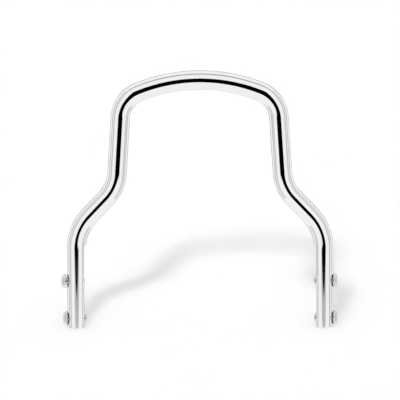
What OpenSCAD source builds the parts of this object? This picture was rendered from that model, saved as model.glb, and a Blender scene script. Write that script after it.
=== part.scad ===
// A sissy bar: the backrest hoop that stands behind the rear seat of a motorbike.
// One solid round bar is bent in a single plane. The inner side of each leg is milled flat, and
// two cross holes go through each leg, with a button-head screw in every hole, head outwards.
// X runs across the legs, Y from front to back and Z upwards. Millimetres and degrees.
// The origin is on the floor, halfway between the two legs. Left is the side of -X.

/* [Bar] */
// Diameter of the round bar
bar_d = 19.05; // [16:0.05:22]
// Height from the floor to the top of the crown
bar_h = 262.4; // [250:0.1:290]
// Distance between the axes of the two legs
leg_spacing = 248; // [236:1:262]
// Radius of the crown, to the axis of the bar
crown_r = 160; // [140:1:200]
// Radius of the two top corners, to the axis of the bar
corner_r = 30; // [24:1:38]
// Lean of the sides of the arch from upright
side_lean = 3.5; // [0:0.5:7]
// Distance between the points where the axes of the sides and the flares cross
waist_w = 167.4; // [158:0.2:176]
// Height of those points above the floor
waist_z = 143.4; // [134:0.2:152]
// Tilt of the two flares from upright
flare_tilt = 43; // [38:0.5:50]
// Radius of the bends at the waist, to the axis of the bar
waist_r = 42.5; // [30:0.5:56]
// Radius of the bends above the legs, to the axis of the bar
knee_r = 47; // [34:0.5:60]
// How much thinner the bar has drawn in its corners, waist and knees
bend_draw = 0.03; // [0.02:0.01:0.2]

/* [Legs] */
// Depth of the flat on the inner side of each leg
flat_depth = 2.2; // [1:0.1:4]
// How far the flat runs up into the bend above the leg
flat_runout = 3; // [1:0.5:6]
// Diameter of the cutter that milled the flat
cutter_d = 22; // [19:0.5:32]
// Chamfer round the end of each leg
foot_chamfer = 0.8; // [0.2:0.1:2]

/* [Holes] */
// Height of the lower hole above the floor
lower_hole_z = 9.5; // [8.5:0.5:16]
// Distance between the two holes of a leg
hole_pitch = 38.1; // [28:0.1:46]
// Gap all round the screw in its hole
hole_clearance = 0.2; // [0.1:0.05:0.6]
// Countersink round the mouth of each hole in the flat
hole_chamfer = 0.4; // [0.2:0.1:0.8]

/* [Screws] */
// Diameter of the screw
screw_d = 7.94; // [6:0.02:9]
// Length of the screw under its head
screw_l = 19.05; // [17:0.05:26]
// Diameter of the button head
head_d = 13.9; // [12:0.1:15]
// Height of the button head
head_h = 4.2; // [3.4:0.1:6]
// Height of the straight rim under the dome of the head
head_rim = 0.6; // [0.3:0.1:1]
// Width of the hexagonal socket across its flats
socket_w = 4.76; // [3.5:0.02:5.6]
// Depth of the hexagonal socket
socket_depth = 2.6; // [1.5:0.1:2.8]
// Width of the flat ring round the mouth of the socket
socket_land = 0.6; // [0.3:0.1:1]
// Chamfer round the tip of the screw
tip_chamfer = 0.9; // [0.4:0.1:1.6]
// How far the upper left screw is backed out of its hole
backed_out = 1.6; // [0:0.1:6]

/* [Hidden] */
$fn = 96;
// Overrun that takes a cut clear of the face it starts from
over = 1;
// How far a bend runs on inside the fuller bar at each of its ends, so that they make one solid
bend_lap = 0.4;
left = -1;
right = 1;
bar_r = bar_d / 2;
leg_x = leg_spacing / 2;
flat_x = leg_x - bar_r + flat_depth;
hole_d = screw_d + 2 * hole_clearance;
upper_hole_z = lower_hole_z + hole_pitch;

// The axis of the right half of the bar is worked out in the XZ plane, as [x, z] points.
// The crown is an arc about crown_c, and meets the corner at crown_angle from upright.
crown_c = [0, bar_h - bar_r - crown_r];
waist_p = [waist_w / 2, waist_z];
side_inward = [-cos(side_lean), -sin(side_lean)];
side_down = [sin(side_lean), -cos(side_lean)];
corner_sine = ((crown_c - waist_p) * side_inward - corner_r) / (crown_r - corner_r);
crown_angle = asin(corner_sine) - side_lean;
corner_c = crown_c + (crown_r - corner_r) * [sin(crown_angle), cos(crown_angle)];
side_start = corner_c - corner_r * side_inward;

// A bend touches its two straights at its tangent length from the point where their axes cross.
waist_turn = flare_tilt - side_lean;
waist_tangent = waist_r * tan(waist_turn / 2);
knee_tangent = knee_r * tan(flare_tilt / 2);
flare_down = [sin(flare_tilt), -cos(flare_tilt)];
knee_p = waist_p + (leg_x - waist_p.x) / sin(flare_tilt) * flare_down;
side_end = waist_p - waist_tangent * side_down;
waist_c = side_end - waist_r * side_inward;
flare_start = waist_p + waist_tangent * flare_down;
flare_end = knee_p - knee_tangent * flare_down;
leg_top = knee_p.y - knee_tangent;
knee_c = [leg_x - knee_r, leg_top];
flat_top = leg_top + flat_runout;

// A straight length of the bar between two points of the XZ plane
module straight(from, to) {
    run = to - from;
    translate([from.x, 0, from.y])
        rotate([0, atan2(run.x, run.y), 0])
            cylinder(d = bar_d, h = norm(run));
}

// An arc of the bar about a centre in the XZ plane, with its angles taken from +X towards +Z
module arc(centre, radius, start, sweep, thickness = bar_d) {
    translate([centre.x, 0, centre.y])
        rotate([90, -start, 0])
            rotate_extrude(angle = sweep, $fn = 360)
                translate([radius, 0])
                    circle(d = thickness, $fn = 96);
}

// A tight bend, drawn thinner than the bar, which runs on a little inside the bar at both ends
module bend(centre, radius, start, sweep) {
    lap_angle = bend_lap / radius * 180 / PI;
    arc(centre, radius, start - lap_angle, sweep + 2 * lap_angle, bar_d - bend_draw);
}

// The straight part of the right leg, turned with a chamfer round its end
module leg() {
    translate([leg_x, 0, 0])
        rotate_extrude()
            polygon([
                [0, 0], [bar_r - foot_chamfer, 0], [bar_r, foot_chamfer], [bar_r, leg_top], [0, leg_top]
            ]);
}

// The right half of the bar, from the corner down to the end of the leg
module half_hoop() {
    bend(corner_c, corner_r, side_lean, 90 - crown_angle - side_lean);
    straight(side_start, side_end);
    bend(waist_c, waist_r, 180 + side_lean, waist_turn);
    straight(flare_start, flare_end);
    bend(knee_c, knee_r, 0, flare_tilt);
    leg();
}

// What the cutter takes off the inner side of the right leg, rounded at its upper end
module flat_cut() {
    cut_top = flat_top - cutter_d / 2;
    translate([flat_x - cutter_d, -cutter_d / 2, -over])
        cube([cutter_d, cutter_d, cut_top + over]);
    translate([flat_x - cutter_d, 0, cut_top])
        rotate([0, 90, 0])
            cylinder(d = cutter_d, h = cutter_d);
    // The end's chamfer runs on along the flat
    translate([flat_x, 0, 0])
        rotate([0, 45, 0])
            cube([sqrt(2) * foot_chamfer, cutter_d, sqrt(2) * foot_chamfer], center = true);
}

// A cross hole through the right leg, countersunk where it leaves the flat
module cross_hole(z) {
    mouth = hole_chamfer + over;
    translate([flat_x - over, 0, z])
        rotate([0, 90, 0]) {
            cylinder(d = hole_d, h = bar_d + 2 * over);
            cylinder(d1 = hole_d + 2 * mouth, d2 = hole_d, h = mouth);
        }
}

module bent_bar() {
    color("gainsboro")
        difference() {
            union() {
                arc(crown_c, crown_r, 90 - crown_angle, 2 * crown_angle);
                half_hoop();
                mirror([1, 0, 0])
                    half_hoop();
            }
            for (side = [0, 1])
                mirror([side, 0, 0]) {
                    flat_cut();
                    cross_hole(lower_hole_z);
                    cross_hole(upper_hole_z);
                }
        }
}

// A button head on the XY plane: a straight rim, a spherical dome and a flat ring round the socket
module button_head() {
    head_r = head_d / 2;
    land_r = socket_w / 2 / cos(30) + socket_land;
    dome_z = (land_r ^ 2 + head_h ^ 2 - head_r ^ 2 - head_rim ^ 2) / (2 * (head_h - head_rim));
    dome_r = norm([head_r, head_rim - dome_z]);
    difference() {
        intersection() {
            cylinder(d = head_d, h = head_h);
            translate([0, 0, dome_z])
                sphere(r = dome_r);
        }
        translate([0, 0, head_h - socket_depth])
            cylinder(d = socket_w / cos(30), h = socket_depth + over, $fn = 6);
    }
}

// A whole screw along Z, with the underside of its head on the XY plane
module button_screw() {
    button_head();
    translate([0, 0, tip_chamfer - screw_l])
        cylinder(d = screw_d, h = screw_l - tip_chamfer);
    translate([0, 0, -screw_l])
        cylinder(d1 = screw_d - 2 * tip_chamfer, d2 = screw_d, h = tip_chamfer);
}

// A screw in a leg, its head against the round outer side unless it is lifted off
module screw_in_leg(side, z, turn, lift = 0) {
    color("silver")
        translate([side * (leg_x + bar_r + lift), 0, z])
            rotate([0, side * 90, 0])
                rotate(turn)
                    button_screw();
}

// Each screw stopped at its own turn of the socket
module upper_left_screw() { screw_in_leg(left, upper_hole_z, 12, backed_out); }
module lower_left_screw() { screw_in_leg(left, lower_hole_z, 41); }
module upper_right_screw() { screw_in_leg(right, upper_hole_z, 27); }
module lower_right_screw() { screw_in_leg(right, lower_hole_z, 5); }

bent_bar();
upper_left_screw();
lower_left_screw();
upper_right_screw();
lower_right_screw();
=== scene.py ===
"""Looks for a sissy bar: a chromed hoop of round bar with four button-head screws, on a white floor.

Blender works in metres here, and the sizes below are in millimetres, as they are on the drawing.
The hoop and the screws are built again as smooth dense meshes of the same form as their solids, so
that the chrome reflects cleanly. The chamfers of the feet, the rims of the heads and the mouths of the
sockets are rounded, and the screws have real threads.
"""
import math
import bmesh
import bpy
from mathutils import Matrix, Quaternion, Vector

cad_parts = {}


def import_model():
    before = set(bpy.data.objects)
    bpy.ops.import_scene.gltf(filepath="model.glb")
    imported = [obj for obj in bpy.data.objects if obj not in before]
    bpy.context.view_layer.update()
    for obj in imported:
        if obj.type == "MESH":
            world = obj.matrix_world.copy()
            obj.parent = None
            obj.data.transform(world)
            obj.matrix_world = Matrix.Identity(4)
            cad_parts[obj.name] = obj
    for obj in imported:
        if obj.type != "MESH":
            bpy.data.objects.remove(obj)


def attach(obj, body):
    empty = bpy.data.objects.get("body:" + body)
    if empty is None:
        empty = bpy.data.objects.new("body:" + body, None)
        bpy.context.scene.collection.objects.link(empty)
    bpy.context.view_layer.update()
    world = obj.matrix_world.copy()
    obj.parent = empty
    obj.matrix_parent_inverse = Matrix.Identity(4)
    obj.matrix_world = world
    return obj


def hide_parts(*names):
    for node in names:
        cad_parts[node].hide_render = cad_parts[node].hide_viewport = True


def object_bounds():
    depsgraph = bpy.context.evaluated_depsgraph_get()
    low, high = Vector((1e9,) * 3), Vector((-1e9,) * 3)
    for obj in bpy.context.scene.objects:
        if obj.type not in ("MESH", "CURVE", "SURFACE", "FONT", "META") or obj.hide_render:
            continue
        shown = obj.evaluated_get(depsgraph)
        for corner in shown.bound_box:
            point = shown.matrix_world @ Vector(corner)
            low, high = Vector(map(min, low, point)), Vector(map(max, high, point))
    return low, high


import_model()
cad_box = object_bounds()

MM = 0.001
LEFT, RIGHT = -1, 1
FRONT, BACK = -1, 1

# Hoop, in the plane Y = 0, as thick and as high as its solid
BAR_D = (cad_box[1][1] - cad_box[0][1]) / MM
BAR_H = cad_box[1][2] / MM
LEG_SPACING = 248
CROWN_R = 160
CORNER_R = 30
SIDE_LEAN = math.radians(3.5)
WAIST_W = 167.4
WAIST_Z = 143.4
FLARE_TILT = math.radians(43)
WAIST_R = 42.5
KNEE_R = 47

# Legs
FLAT_DEPTH = 2.2
FLAT_RUNOUT = 3
CUTTER_D = 22
FOOT_CHAMFER = 0.8
FOOT_ROUND = 0.4
LOWER_HOLE_Z = 9.5
HOLE_PITCH = 38.1
HOLE_CLEARANCE = 0.2
HOLE_CHAMFER = 0.4

# Screws
SCREW_D = 7.94
SCREW_L = 19.05
THREAD_PITCH = 25.4 / 18
HEAD_D = 13.9
HEAD_H = 4.2
HEAD_RIM = 0.6
HEAD_EDGE = 0.15
SOCKET_W = 4.76
SOCKET_DEPTH = 2.6
SOCKET_LAND = 0.6
TIP_CHAMFER = 0.9
BACKED_OUT = 1.6

# Mouth of the socket: a cone that starts a little outside the hexagon's corners
MOUTH_WIDER = 0.1
MOUTH_DEPTH = 0.55
MOUTH_BEVEL = 0.06

# Values worked out from the sizes
BAR_R = BAR_D / 2
LEG_X = LEG_SPACING / 2
FLAT_X = LEG_X - BAR_R + FLAT_DEPTH
FOOT_TANGENT = FOOT_ROUND * math.tan(math.pi / 8)
UPPER_HOLE_Z = LOWER_HOLE_Z + HOLE_PITCH
HOLE_R = SCREW_D / 2 + HOLE_CLEARANCE
SOCKET_CORNER = SOCKET_W / 2 / math.cos(math.radians(30))
SOCKET_FLOOR = HEAD_H - SOCKET_DEPTH
# A ring under the head, hidden by the shank, which keeps the faces of the underside even
UNDERSIDE_R = SCREW_D / 2 - 0.4

# Thread of 60 degrees: its depth, and the flats of its crests and roots as shares of the pitch
THREAD_DEPTH = 0.6134 * THREAD_PITCH
THREAD_CREST = 1 / 8
THREAD_ROOT = 1 / 4

# Each screw's side, height, turn of its socket in degrees, and lift off the leg
SCREWS = (
    ("upper_left_screw", LEFT, UPPER_HOLE_Z, 12, BACKED_OUT),
    ("lower_left_screw", LEFT, LOWER_HOLE_Z, 41, 0),
    ("upper_right_screw", RIGHT, UPPER_HOLE_Z, 27, 0),
    ("lower_right_screw", RIGHT, LOWER_HOLE_Z, 5, 0),
)

# Fineness of the meshes: sides of round shapes, steps along arcs, and steps along the bar
HOOP_SIDES = 128
ROUND_SIDES = 96
EDGE_STEPS = 4
BEVEL_STEPS = 2
DOME_STEPS = 24
ROWS_A_TURN = 18
FEWEST_STEPS = 6
STEP_DEGREES = 1.5
STEP_LENGTH = 3

# Edges sharper than these angles stay crisp
HOOP_CREASE = math.radians(25)
HEAD_CREASE = math.radians(35)
THREAD_CREASE = math.radians(40)
FACE_WEIGHT = 80

# Cuts: how far each cutter runs past the surface, and how near points are merged after a cut
OVERRUN = 1
DRILL_OVERRUN = 3
SLAB_OVERRUN = 5
MERGE = 0.004

# What tells the socket's faces apart: how far off its shape they may lie, and how level their normals
NEAR_SOCKET = 0.1
LEVEL_NORMAL = 0.5

# Finishes, and the painted shade in the sockets: colours, ranges of roughness, and depths of relief
BAR_COLOUR = (0.86, 0.87, 0.855)
BAR_ROUGHNESS = (0.02, 0.05)
BAR_RIPPLE = 0.004
SCREW_COLOUR = (0.74, 0.75, 0.745)
SCREW_ROUGHNESS = (0.08, 0.2)
SCREW_RIPPLE = 0.002
# Painted shade: the sockets' walls and floors are coloured dark for the shade in the recess
SOCKET_SHADE_COLOUR = (0.16, 0.16, 0.17)
SOCKET_ROUGHNESS = (0.3, 0.5)
HAIR_DEPTH = 0.0006
HAIR_STRENGTH = 0.5
PIT_DEPTH = 0.004

# Noise of the finishes: scales in turns per metre, fineness, and the part of its range that is used
HAZE_SCALE = 60
RIPPLE_SCALE = 45
RIPPLE_DETAIL = 2.0
HAIR_SCALE = 900
HAIR_DETAIL = 6.0
HAIR_STRETCH = (1, 1, 0.2)
GRAIN_SCALE = 700
PIT_SCALE = 2500
NOISE_LOW = 0.35
NOISE_HIGH = 0.65

# Camera, in metres: the photograph is 400 pixels across and shows about 1 mm for each pixel
CAMERA_TILT = math.radians(12)
CAMERA_ROLL = math.radians(-0.23)
CAMERA_DISTANCE = 8.0
PHOTO_SPAN = 0.4008
AIM = Vector((0.0001, 0, 0.1303))

# Light: the floor's own light and its glow add up to white where no shadow falls
KEY_LIGHT = 2.6
KEY_WIDTH = math.radians(4.4)
KEY_TALL = math.radians(5.2)
KEY_STEPS = 5
KEY_HEIGHT = math.radians(32)
KEY_SIDE = math.radians(9)
WORLD_LIGHT = 0.6
FLOOR_REACH = 6000
FLOOR_COLOUR = 0.9
FLOOR_SPREAD = 0.08
FLOOR_WHITE = 1.01
FLOOR_GLOW = FLOOR_WHITE - FLOOR_COLOUR * (KEY_LIGHT * math.sin(KEY_HEIGHT) / math.pi + WORLD_LIGHT)

# Studio: how far off its panels stand, where they begin and end, and their greys
STUDIO = 3000
PANEL_W = 3000
FRONT_ROWS = ((-720, 0.55), (-650, 0.55), (-630, 0), (1950, 0))
BACK_ROWS = ((-1500, 0), (1100, 0))
STRIP_Y = (360, 1300)
STRIP_GREYS = (0.42, 0.8)
TOP_STRIP_Y = (-420, 260)
TOP_STRIP_GREY = 0.35


def link(obj):
    """Puts an object in the scene."""
    bpy.context.scene.collection.objects.link(obj)
    return obj


def new_piece(name, verts, faces, smooth=True):
    """A mesh object from points in millimetres."""
    mesh = bpy.data.meshes.new(name)
    mesh.from_pydata([Vector(v) * MM for v in verts], [], faces)
    mesh.validate()
    for poly in mesh.polygons:
        poly.use_smooth = smooth
    return link(bpy.data.objects.new(name, mesh))


def solid_piece(name, verts, faces):
    """A closed mesh object whose faces all look outwards."""
    obj = new_piece(name, verts, faces)
    bm = bmesh.new()
    bm.from_mesh(obj.data)
    bmesh.ops.recalc_face_normals(bm, faces=bm.faces)
    bm.to_mesh(obj.data)
    bm.free()
    return obj


def arc_points(centre, radius, start, end, steps):
    """Points of (radius, height) along an arc, both ends included."""
    return [
        (centre[0] + radius * math.cos(start + (end - start) * i / steps),
         centre[1] + radius * math.sin(start + (end - start) * i / steps))
        for i in range(steps + 1)
    ]


def heading(angle):
    """The direction at an angle below +X, in the XZ plane."""
    return Vector((math.cos(angle), -math.sin(angle)))


def half_path():
    """The axis of the right half of the hoop: its points and headings, from the crown to the foot."""
    inward = Vector((-math.cos(SIDE_LEAN), -math.sin(SIDE_LEAN)))
    crown_c = Vector((0, BAR_H - BAR_R - CROWN_R))
    waist_p = Vector((WAIST_W / 2, WAIST_Z))
    sine = ((crown_c - waist_p).dot(inward) - CORNER_R) / (CROWN_R - CORNER_R)
    crown_angle = math.asin(sine) - SIDE_LEAN
    side = math.pi / 2 - SIDE_LEAN
    flare = math.pi / 2 - FLARE_TILT
    waist_tangent = WAIST_R * math.tan((side - flare) / 2)
    knee_tangent = KNEE_R * math.tan(FLARE_TILT / 2)
    knee_p = waist_p + (LEG_X - waist_p.x) / math.sin(FLARE_TILT) * heading(flare)
    path = [(Vector((0, BAR_H - BAR_R)), 0.0)]

    def bend(radius, turn):
        start, first = path[-1]
        by_angle = math.ceil(abs(math.degrees(turn)) / STEP_DEGREES)
        by_length = math.ceil(abs(radius * turn) / STEP_LENGTH)
        steps = max(FEWEST_STEPS, by_angle, by_length)
        sign = math.copysign(1, turn)
        centre = start + sign * radius * heading(first + math.pi / 2)
        for i in range(1, steps + 1):
            at = first + turn * i / steps
            path.append((centre - sign * radius * heading(at + math.pi / 2), at))

    def straight(end):
        start, at = path[-1]
        pieces = math.ceil((end - start).length / STEP_LENGTH)
        for i in range(1, pieces + 1):
            path.append((start.lerp(end, i / pieces), at))

    bend(CROWN_R, crown_angle)
    bend(CORNER_R, side - crown_angle)
    straight(waist_p - waist_tangent * heading(side))
    bend(WAIST_R, flare - side)
    straight(knee_p - knee_tangent * heading(flare))
    bend(KNEE_R, math.pi / 2 - flare)
    leg_top = path[-1][0].y
    straight(Vector((LEG_X, FOOT_CHAMFER + FOOT_TANGENT)))
    return path, leg_top


def foot_profile():
    """The chamfer round a leg's end, its two edges rounded, as (radius, height) from the end upwards."""
    eighth = math.pi / 4
    low = (BAR_R - FOOT_CHAMFER - FOOT_TANGENT, FOOT_ROUND)
    high = (BAR_R - FOOT_ROUND, FOOT_CHAMFER + FOOT_TANGENT)
    profile = arc_points(low, FOOT_ROUND, -2 * eighth, -eighth, EDGE_STEPS)
    return profile + arc_points(high, FOOT_ROUND, -eighth, 0, EDGE_STEPS)


def tube_faces(rings, sides):
    """Quads between rings of points, and a cap at each end."""
    faces = []
    for i in range(rings - 1):
        for k in range(sides):
            a, b = i * sides + k, i * sides + (k + 1) % sides
            faces.append((a, b, b + sides, a + sides))
    faces.append(tuple(reversed(range(sides))))
    faces.append(tuple(range((rings - 1) * sides, rings * sides)))
    return faces


def build_hoop():
    """The bare bent bar, as one tube of quads with chamfered ends."""
    half, leg_top = half_path()
    mirrored = [(Vector((-p.x, p.y)), -at) for p, at in reversed(half[1:])]
    rings = [(p, at, BAR_R) for p, at in mirrored + half]
    foot = foot_profile()[:-1]
    left_foot = [(Vector((-LEG_X, z)), -math.pi / 2, radius) for radius, z in foot]
    right_foot = [(Vector((LEG_X, z)), math.pi / 2, radius) for radius, z in reversed(foot)]
    rings = left_foot + rings + right_foot
    verts = []
    for point, at, radius in rings:
        centre = Vector((point.x, 0, point.y))
        out = Vector((math.sin(at), 0, math.cos(at)))
        for k in range(HOOP_SIDES):
            turn = 2 * math.pi * k / HOOP_SIDES
            verts.append(centre + radius * (math.cos(turn) * out + math.sin(turn) * Vector((0, 1, 0))))
    return solid_piece("hoop", verts, tube_faces(len(rings), HOOP_SIDES)), leg_top


def cylinder_x(name, radius_a, radius_b, x_a, x_b, z):
    """A closed cylinder or cone along X, to cut with."""
    verts = []
    for x, radius in ((x_a, radius_a), (x_b, radius_b)):
        for k in range(ROUND_SIDES):
            turn = 2 * math.pi * k / ROUND_SIDES
            verts.append((x, radius * math.cos(turn), z + radius * math.sin(turn)))
    return solid_piece(name, verts, tube_faces(2, ROUND_SIDES))


def slab_x(name, x_a, x_b, top):
    """The milling cut: a slab along X with a round upper end, open at the foot."""
    radius = CUTTER_D / 2
    outline = [(-radius, -SLAB_OVERRUN), (radius, -SLAB_OVERRUN)]
    outline += arc_points((0, top - radius), radius, 0, math.pi, ROUND_SIDES)
    verts = [(x, y, z) for x in (x_a, x_b) for y, z in outline]
    return solid_piece(name, verts, tube_faces(2, len(outline)))


def cut(obj, cutters):
    """Cuts the cutters out of a piece, removes them, and merges the points left on top of each other."""
    for cutter in cutters:
        modifier = obj.modifiers.new("cut", "BOOLEAN")
        modifier.operation = "DIFFERENCE"
        modifier.solver = "EXACT"
        modifier.object = cutter
    graph = bpy.context.evaluated_depsgraph_get()
    mesh = bpy.data.meshes.new_from_object(obj.evaluated_get(graph))
    obj.modifiers.clear()
    obj.data = mesh
    for cutter in cutters:
        bpy.data.objects.remove(cutter)
    bm = bmesh.new()
    bm.from_mesh(mesh)
    bmesh.ops.remove_doubles(bm, verts=bm.verts, dist=MERGE * MM)
    bmesh.ops.dissolve_degenerate(bm, edges=bm.edges, dist=MERGE * MM)
    bm.to_mesh(mesh)
    bm.free()


def round_edges(obj, width, angle, segments):
    """Breaks the edges sharper than an angle by a width. It is applied with the clean shading."""
    bevel = obj.modifiers.new("broken edges", "BEVEL")
    bevel.width = width * MM
    bevel.segments = segments
    bevel.limit_method = "ANGLE"
    bevel.angle_limit = angle
    bevel.harden_normals = False


def clean_shading(obj, angle):
    """Keeps the large faces' shading clean and the edges sharper than an angle crisp."""
    obj.data.set_sharp_from_angle(angle=angle)
    weighted = obj.modifiers.new("clean shading", "WEIGHTED_NORMAL")
    weighted.keep_sharp = True
    weighted.weight = FACE_WEIGHT
    graph = bpy.context.evaluated_depsgraph_get()
    mesh = bpy.data.meshes.new_from_object(obj.evaluated_get(graph), depsgraph=graph)
    obj.modifiers.clear()
    obj.data = mesh


def finish_hoop():
    """The whole bar, with its flats milled and its holes drilled and countersunk."""
    hoop, leg_top = build_hoop()
    wide = HOLE_R + HOLE_CHAMFER + OVERRUN
    cutters = []
    for side in (LEFT, RIGHT):
        flat = side * FLAT_X
        cutters.append(slab_x("flat cutter", flat, flat - side * CUTTER_D, leg_top + FLAT_RUNOUT))
        for z in (LOWER_HOLE_Z, UPPER_HOLE_Z):
            start = side * (FLAT_X - DRILL_OVERRUN)
            cutters.append(cylinder_x("drill", HOLE_R, HOLE_R, start, side * (LEG_X + BAR_D), z))
            mouth = side * (FLAT_X - OVERRUN)
            bottom = side * (FLAT_X + HOLE_CHAMFER)
            cutters.append(cylinder_x("countersink", wide, HOLE_R, mouth, bottom, z))
    cut(hoop, cutters)
    clean_shading(hoop, HOOP_CREASE)
    return hoop


def lathe(name, profile, start):
    """A profile of (radius, height) turned about Z from a starting angle. A radius of 0 is a point."""
    verts, faces, rows = [], [], []
    for radius, height in profile:
        if radius == 0:
            rows.append([len(verts)])
            verts.append((0, 0, height))
        else:
            rows.append(list(range(len(verts), len(verts) + ROUND_SIDES)))
            for k in range(ROUND_SIDES):
                turn = start + 2 * math.pi * k / ROUND_SIDES
                verts.append((radius * math.cos(turn), radius * math.sin(turn), height))
    for low, high in zip(rows, rows[1:]):
        for k in range(ROUND_SIDES):
            j = (k + 1) % ROUND_SIDES
            if len(low) == 1:
                faces.append((low[0], high[j], high[k]))
            elif len(high) == 1:
                faces.append((low[k], low[j], high[0]))
            else:
                faces.append((low[k], low[j], high[j], high[k]))
    return solid_piece(name, verts, faces)


def head_profile():
    """Half the section of the button head, from the middle of its underside to the middle of its top."""
    head_r = HEAD_D / 2
    flat_r = head_r - HEAD_EDGE
    land_r = SOCKET_CORNER + SOCKET_LAND
    dome_z = (land_r ** 2 + HEAD_H ** 2 - head_r ** 2 - HEAD_RIM ** 2) / (2 * (HEAD_H - HEAD_RIM))
    dome_r = math.hypot(head_r, HEAD_RIM - dome_z)
    start = math.atan2(HEAD_RIM - dome_z, head_r)
    end = math.atan2(HEAD_H - dome_z, land_r)
    rim = arc_points((flat_r, HEAD_EDGE), HEAD_EDGE, -math.pi / 2, 0, EDGE_STEPS)[1:]
    dome = arc_points((0, dome_z), dome_r, start, end, DOME_STEPS)
    return [(0, 0), (UNDERSIDE_R, 0), (flat_r, 0)] + rim + dome + [(0, HEAD_H)]


def socket_key(turn):
    """The hexagonal prism that is cut out of a head."""
    verts = []
    for z in (SOCKET_FLOOR, HEAD_H + OVERRUN):
        for k in range(6):
            at = math.radians(60 * k) + turn
            verts.append((SOCKET_CORNER * math.cos(at), SOCKET_CORNER * math.sin(at), z))
    return solid_piece("key", verts, tube_faces(2, 6))


def mouth_cone(turn):
    """The 45 degree cone that opens the mouth of the socket."""
    rim = SOCKET_CORNER + MOUTH_WIDER
    low = HEAD_H - MOUTH_DEPTH
    high = HEAD_H + OVERRUN
    return lathe("mouth", [(0, low), (rim - MOUTH_DEPTH, low), (rim + OVERRUN, high), (0, high)], turn)


def in_socket(poly):
    """Whether a face of the head is one of the socket's upright walls or its floor."""
    x, y, z = poly.center / MM
    if z < SOCKET_FLOOR - NEAR_SOCKET or math.hypot(x, y) > SOCKET_CORNER + NEAR_SOCKET:
        return False
    return abs(poly.normal.z) < LEVEL_NORMAL or z < SOCKET_FLOOR + NEAR_SOCKET


def build_head(name, turn):
    """The button head with its socket. Its shapes are all turned from a corner of the hexagon."""
    head = lathe(name, head_profile(), turn)
    cut(head, [socket_key(turn), mouth_cone(turn)])
    round_edges(head, MOUTH_BEVEL, HEAD_CREASE, BEVEL_STEPS)
    clean_shading(head, HEAD_CREASE)
    # The socket's walls and floor take the second material, a dark colour painted for the shade in the
    # recess
    for poly in head.data.polygons:
        poly.material_index = int(in_socket(poly))
    return head


def thread_radius(z, turn):
    """Radius of the thread at a height and a turn, with flats on its crests and roots."""
    place = (z / THREAD_PITCH - turn / (2 * math.pi)) % 1.0
    rise = abs(place - 0.5) * 2
    share = (rise - THREAD_CREST) / (1 - THREAD_CREST - THREAD_ROOT)
    return SCREW_D / 2 - THREAD_DEPTH * min(1.0, max(0.0, share))


def build_shank(name):
    """The threaded shank from the underside of the head to the chamfered tip."""
    rows = math.ceil(SCREW_L / THREAD_PITCH * ROWS_A_TURN)
    verts = []
    for i in range(rows + 1):
        z = -SCREW_L + SCREW_L * i / rows
        chamfer_r = SCREW_D / 2 - TIP_CHAMFER + (z + SCREW_L)
        for k in range(ROUND_SIDES):
            turn = 2 * math.pi * k / ROUND_SIDES
            radius = min(chamfer_r, thread_radius(z, turn))
            verts.append((radius * math.cos(turn), radius * math.sin(turn), z))
    shank = solid_piece(name, verts, tube_faces(rows + 1, ROUND_SIDES))
    shank.data.set_sharp_from_angle(angle=THREAD_CREASE)
    return shank


def build_screw(node, side, z, turn, lift):
    """One whole screw in its leg."""
    head = build_head(node + "_head", math.radians(turn))
    shank = build_shank(node + "_thread")
    place = Matrix.Translation(Vector((side * (LEG_X + BAR_R + lift), 0, z)) * MM)
    turned = place @ Matrix.Rotation(side * math.pi / 2, 4, "Y")
    for piece in (head, shank):
        piece.data.transform(turned)
        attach(piece, "root")
    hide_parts(node)
    return head, shank


def new_material(name):
    """A new material, with its nodes and its shader."""
    material = bpy.data.materials.new(name)
    material.use_nodes = True
    tree = material.node_tree
    return material, tree, tree.nodes["Principled BSDF"]


def metal(name, colour):
    """A new material of bare metal of one colour."""
    material, tree, shader = new_material(name)
    shader.inputs["Base Color"].default_value = (*colour, 1)
    shader.inputs["Metallic"].default_value = 1.0
    return material, tree, shader


def noise(tree, scale, detail=4.0, stretch=(1, 1, 1)):
    """A noise texture in the object's own space, in turns per metre."""
    coords = tree.nodes.new("ShaderNodeTexCoord")
    mapping = tree.nodes.new("ShaderNodeMapping")
    mapping.inputs["Scale"].default_value = stretch
    texture = tree.nodes.new("ShaderNodeTexNoise")
    texture.inputs["Scale"].default_value = scale
    texture.inputs["Detail"].default_value = detail
    tree.links.new(coords.outputs["Object"], mapping.inputs["Vector"])
    tree.links.new(mapping.outputs["Vector"], texture.inputs["Vector"])
    return texture.outputs["Fac"]


def spread(tree, value, low, high):
    """Maps a noise value to a range."""
    ramp = tree.nodes.new("ShaderNodeMapRange")
    ramp.inputs["From Min"].default_value = NOISE_LOW
    ramp.inputs["From Max"].default_value = NOISE_HIGH
    ramp.inputs["To Min"].default_value = low
    ramp.inputs["To Max"].default_value = high
    tree.links.new(value, ramp.inputs["Value"])
    return ramp.outputs["Result"]


def relief(tree, height, depth, strength=1.0):
    """A bump node whose relief follows a noise."""
    bump = tree.nodes.new("ShaderNodeBump")
    bump.inputs["Strength"].default_value = strength
    bump.inputs["Distance"].default_value = depth * MM
    tree.links.new(height, bump.inputs["Height"])
    return bump


def chrome(name, colour, roughness, ripple):
    """Plated chrome: a mirror with faint haze, polishing ripple and hairlines."""
    material, tree, shader = metal(name, colour)
    tree.links.new(spread(tree, noise(tree, HAZE_SCALE), *roughness), shader.inputs["Roughness"])
    waves = relief(tree, noise(tree, RIPPLE_SCALE, RIPPLE_DETAIL), ripple)
    scratches = noise(tree, HAIR_SCALE, HAIR_DETAIL, HAIR_STRETCH)
    hairs = relief(tree, scratches, HAIR_DEPTH, HAIR_STRENGTH)
    tree.links.new(waves.outputs["Normal"], hairs.inputs["Normal"])
    tree.links.new(hairs.outputs["Normal"], shader.inputs["Normal"])
    return material


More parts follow.
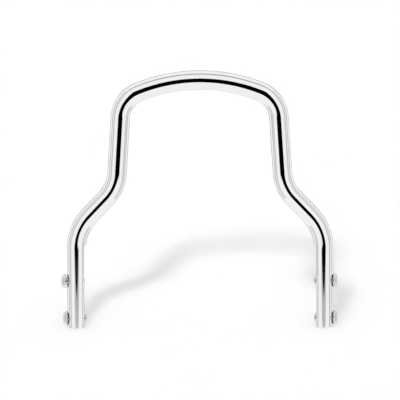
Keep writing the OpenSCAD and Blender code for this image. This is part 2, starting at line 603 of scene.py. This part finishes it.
def socket_shade_steel(name, colour, roughness):
    """Dark metal for a socket's walls and floor: painted shade that stands for the shade in the recess."""
    material, tree, shader = metal(name, colour)
    tree.links.new(spread(tree, noise(tree, GRAIN_SCALE), *roughness), shader.inputs["Roughness"])
    pits = relief(tree, noise(tree, PIT_SCALE), PIT_DEPTH)
    tree.links.new(pits.outputs["Normal"], shader.inputs["Normal"])
    return material


def sissy_bar():
    """The object: the bar and its four screws, dressed."""
    hoop = finish_hoop()
    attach(hoop, "root")
    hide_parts("bent_bar")
    hoop.data.materials.append(chrome("bar chrome", BAR_COLOUR, BAR_ROUGHNESS, BAR_RIPPLE))
    plated = chrome("screw chrome", SCREW_COLOUR, SCREW_ROUGHNESS, SCREW_RIPPLE)
    # The socket material is painted shade: a dark colour for the shade in the recess
    socket_shade = socket_shade_steel("socket painted shade", SOCKET_SHADE_COLOUR, SOCKET_ROUGHNESS)
    for screw in SCREWS:
        head, shank = build_screw(*screw)
        head.data.materials.append(plated)
        head.data.materials.append(socket_shade)
        shank.data.materials.append(plated)


def place_camera():
    """A distant camera at the photograph's angle, tilt and framing."""
    away = Vector((0, -math.cos(CAMERA_TILT), math.sin(CAMERA_TILT)))
    data = bpy.data.cameras.new("camera")
    camera = link(bpy.data.objects.new("camera", data))
    data.sensor_width = 36
    data.lens = data.sensor_width * CAMERA_DISTANCE / PHOTO_SPAN
    data.clip_start = 0.1
    data.clip_end = 50
    camera.location = AIM + away * CAMERA_DISTANCE
    camera.rotation_mode = "QUATERNION"
    camera.rotation_quaternion = (-away).to_track_quat("-Z", "Y") @ Quaternion((0, 0, 1), CAMERA_ROLL)
    bpy.context.scene.camera = camera


def glow(name):
    """A plain glowing material for the panels, which takes its shade from their points."""
    material = bpy.data.materials.new(name)
    material.use_nodes = True
    tree = material.node_tree
    tree.nodes.clear()
    shade = tree.nodes.new("ShaderNodeVertexColor")
    shade.layer_name = "shade"
    light = tree.nodes.new("ShaderNodeEmission")
    out = tree.nodes.new("ShaderNodeOutputMaterial")
    tree.links.new(shade.outputs["Color"], light.inputs["Color"])
    tree.links.new(light.outputs["Emission"], out.inputs["Surface"])
    return material


def panel(name, verts, faces, greys, material):
    """A glowing or black panel with a grey for each of its points, which only mirrors see."""
    piece = new_piece(name, verts, faces, smooth=False)
    layer = piece.data.color_attributes.new("shade", "FLOAT_COLOR", "POINT")
    for point, grey in zip(layer.data, greys):
        point.color = (grey, grey, grey, 1)
    piece.data.materials.append(material)
    piece.visible_camera = False
    piece.visible_diffuse = False
    piece.visible_shadow = False
    piece.visible_transmission = False
    piece.visible_volume_scatter = False


def end_panel(name, facing, rows, material):
    """An upright panel far in front of the object or far behind it, from rows of (height, grey)."""
    verts = [(side * PANEL_W / 2, facing * STUDIO, z) for z, _ in rows for side in (LEFT, RIGHT)]
    greys = [grey for _, grey in rows for _ in (LEFT, RIGHT)]
    panel(name, verts, [(k, k + 1, k + 3, k + 2) for k in range(0, len(verts) - 2, 2)], greys, material)


def side_strip(name, side, facing, material):
    """A grey upright strip at one side of the studio, towards the front or the back."""
    verts = [(side * STUDIO, facing * y, z) for z in (-STUDIO, STUDIO) for y in STRIP_Y]
    panel(name, verts, [(0, 1, 3, 2)], STRIP_GREYS * 2, material)


def top_strip(material):
    """The grey gap between the lights overhead, which runs across the studio."""
    verts = [(x, y, STUDIO) for x in (-STUDIO, STUDIO) for y in TOP_STRIP_Y]
    panel("top_strip", verts, [(0, 1, 3, 2)], [TOP_STRIP_GREY] * 4, material)


def studio():
    """What the chrome mirrors: plain panels 3 m away, in front, behind, at both sides and overhead."""
    material = glow("cards")
    for word, facing, rows in (("front", FRONT, FRONT_ROWS), ("back", BACK, BACK_ROWS)):
        end_panel(f"{word}_panel", facing, rows, material)
        side_strip(f"left_{word}_strip", LEFT, facing, material)
        side_strip(f"right_{word}_strip", RIGHT, facing, material)
    top_strip(material)


def seen_directly(tree):
    """One for the camera's rays, and for those that come off or through a shiny surface."""
    path = tree.nodes.new("ShaderNodeLightPath")
    value = path.outputs["Is Camera Ray"]
    for kind in ("Is Glossy Ray", "Is Transmission Ray"):
        either = tree.nodes.new("ShaderNodeMath")
        either.operation = "MAXIMUM"
        tree.links.new(value, either.inputs[0])
        tree.links.new(path.outputs[kind], either.inputs[1])
        value = either.outputs[0]
    return value


def floor_material():
    """A white board that light spreads in a little, with a faint glow that doesn't light anything."""
    material, tree, shader = new_material("floor")
    shader.subsurface_method = "BURLEY"
    shader.inputs["Base Color"].default_value = (FLOOR_COLOUR, FLOOR_COLOUR, FLOOR_COLOUR, 1)
    shader.inputs["Roughness"].default_value = 1.0
    shader.inputs["Specular IOR Level"].default_value = 0.0
    shader.inputs["Subsurface Weight"].default_value = 1.0
    shader.inputs["Subsurface Radius"].default_value = (1, 1, 1)
    shader.inputs["Subsurface Scale"].default_value = FLOOR_SPREAD
    shader.inputs["Emission Color"].default_value = (1, 1, 1, 1)
    lit = tree.nodes.new("ShaderNodeMath")
    lit.operation = "MULTIPLY"
    lit.inputs[1].default_value = FLOOR_GLOW
    tree.links.new(seen_directly(tree), lit.inputs[0])
    tree.links.new(lit.outputs[0], shader.inputs["Emission Strength"])
    return material


def floor():
    """A white floor that keeps the soft shadow. Mirrors don't see it, as the panels reach below it."""
    corners = [(x * FLOOR_REACH, y * FLOOR_REACH, 0) for x, y in ((-1, -1), (1, -1), (1, 1), (-1, 1))]
    ground = new_piece("floor", corners, [(0, 1, 2, 3)])
    ground.data.materials.append(floor_material())
    ground.visible_glossy = False


def world():
    """White to the camera and to mirrors, and a weaker even light for everything else."""
    sky = bpy.data.worlds.new("world")
    bpy.context.scene.world = sky
    sky.use_nodes = True
    tree = sky.node_tree
    level = tree.nodes.new("ShaderNodeMapRange")
    level.inputs["To Min"].default_value = WORLD_LIGHT
    level.inputs["To Max"].default_value = 1.0
    tree.links.new(seen_directly(tree), level.inputs["Value"])
    back = tree.nodes["Background"]
    back.inputs["Color"].default_value = (1, 1, 1, 1)
    tree.links.new(level.outputs["Result"], back.inputs["Strength"])


def key_light():
    """A narrow upright light from the front, a little to the left, for the soft shadow behind the hoop."""
    for step in range(KEY_STEPS):
        data = bpy.data.lights.new("key", "SUN")
        data.energy = KEY_LIGHT / KEY_STEPS
        data.angle = KEY_WIDTH
        lamp = link(bpy.data.objects.new("key", data))
        height = KEY_HEIGHT + KEY_TALL * (step / (KEY_STEPS - 1) - 0.5)
        flat = math.cos(height)
        towards = Vector((-flat * math.sin(KEY_SIDE), -flat * math.cos(KEY_SIDE), math.sin(height)))
        lamp.rotation_mode = "QUATERNION"
        lamp.rotation_quaternion = (-towards).to_track_quat("-Z", "Y")
        lamp.visible_glossy = False


sissy_bar()
place_camera()
floor()
world()
key_light()
studio()
bpy.context.scene.view_settings.view_transform = "Standard"
